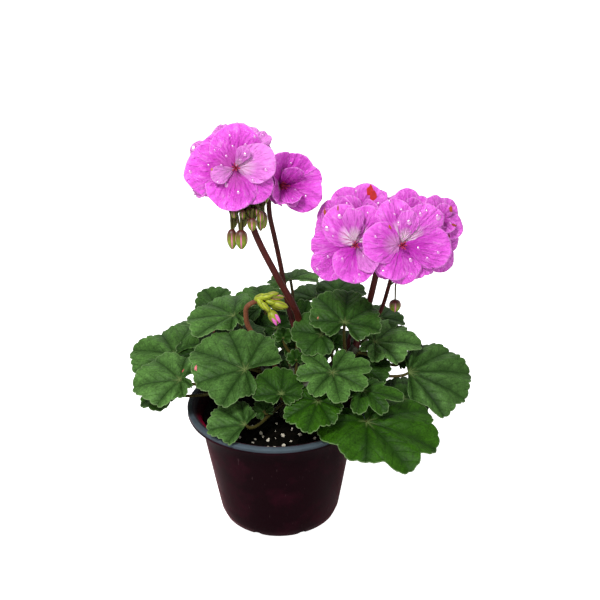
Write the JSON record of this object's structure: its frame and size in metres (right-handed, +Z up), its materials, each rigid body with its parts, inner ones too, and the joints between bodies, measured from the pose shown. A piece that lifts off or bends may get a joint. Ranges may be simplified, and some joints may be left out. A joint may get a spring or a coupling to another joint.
{
  "type": "potted geranium",
  "caption": "Young zonal geranium in a round nursery pot: lobed leaves on long stalks, open flower heads on upright stalks, hanging buds and a nodding bunch of buds",
  "frame": {"origin": "centre of the flat underside of the pot", "axes": "+Z up; -Y towards the plant's best side, +X to its right"},
  "size_m": [0.2163, 0.1685, 0.2636],
  "materials": {
    "pot": "satin, thin-walled nursery pot plastic",
    "soil": "rough, crumbly potting soil with pale perlite grains",
    "stem": "soft, half-woody green-brown bark",
    "leaf": "matte, finely haired leaf with sunken veins",
    "stalk": "dark red-brown flower stalk, finely haired",
    "bud": "matte yellow-green buds and their hooked stalk",
    "petal": "satin petals, magenta-pink, with darker veins and wet drops"
  },
  "bodies": {
    "root": {"pot": "pot", "soil": "soil", "stem": "stem", "leaf_front_left": "leaf", "leaf_upper_left": "leaf", "leaf_upper_left_back": "leaf", "leaf_left": "leaf", "leaf_left_low": "leaf", "leaf_left_droop": "leaf", "leaf_front_left_low": "leaf", "leaf_front_middle_low": "leaf", "leaf_front_middle": "leaf", "leaf_upper_middle": "leaf", "leaf_middle": "leaf", "leaf_right": "leaf", "leaf_far_right": "leaf", "leaf_right_low": "leaf", "leaf_right_under": "leaf", "leaf_front_right_small": "leaf", "leaf_front_low": "leaf", "leaf_top_right": "leaf", "leaf_top_left": "leaf", "leaf_upper_left_middle": "leaf", "leaf_young": "leaf", "leaf_inner": "leaf", "leaf_inner_small": "leaf", "leaf_young_curled": "leaf", "leaf_young_low": "leaf", "leaf_back_right_upper": "leaf", "leaf_back_left_upper": "leaf", "leaf_back_middle_right": "leaf", "leaf_back_right": "leaf", "leaf_back_left_low": "leaf", "leaf_back_low": "leaf", "flower_stalk_left": "stalk", "flower_stalk_side": "stalk", "flower_stalk_right": "stalk", "flower_stalk_right_back": "stalk", "bud_bunch": "bud", "petals_left": "petal", "petals_side": "petal", "petals_right": "petal"}
  },
  "joints": []
}
